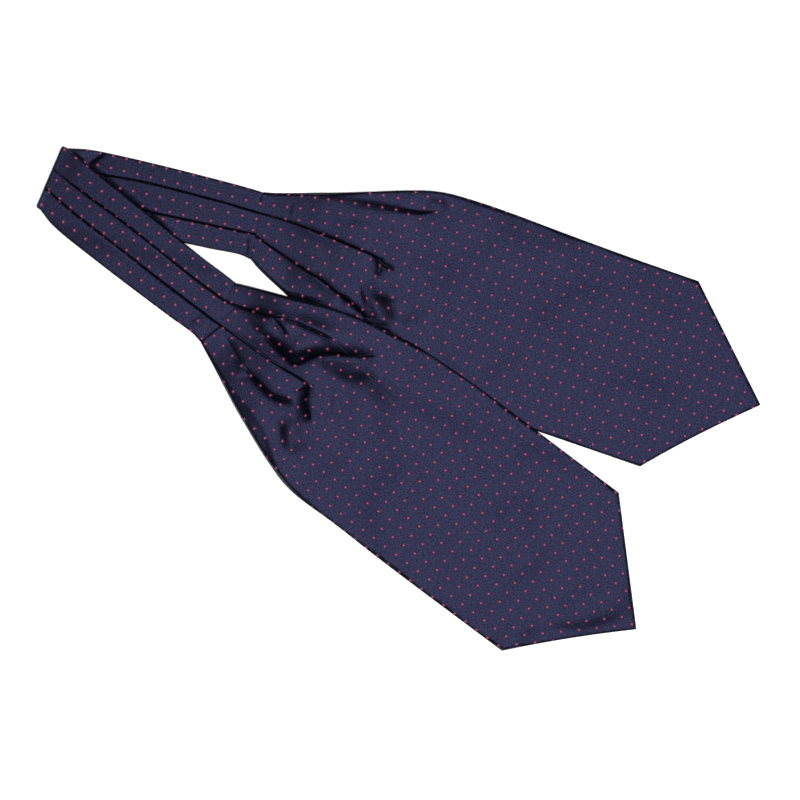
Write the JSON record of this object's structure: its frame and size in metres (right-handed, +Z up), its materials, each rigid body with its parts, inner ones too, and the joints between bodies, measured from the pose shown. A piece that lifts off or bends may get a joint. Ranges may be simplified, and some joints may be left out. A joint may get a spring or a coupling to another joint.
{
  "type": "cravat",
  "caption": "Day cravat of dotted navy silk laid flat and folded at the neck, with a pleated neckband and wide blades that end in points.",
  "frame": {"origin": "centre of the bounding box on the plane of the table that it lies on", "axes": "+X to the right of the picture, from the fold at the back of the neck towards the points; +Y to the top of the picture; +Z up from the table"},
  "size_m": [0.5633, 0.3924, 0.0108],
  "materials": {
    "silk": "satin twill silk with small woven dots"
  },
  "bodies": {
    "root": {"near_neckband": "silk", "far_neckband": "silk", "near_blade_upper": "silk", "near_blade_under": "silk", "far_blade_upper": "silk", "far_blade_under": "silk"}
  },
  "joints": []
}
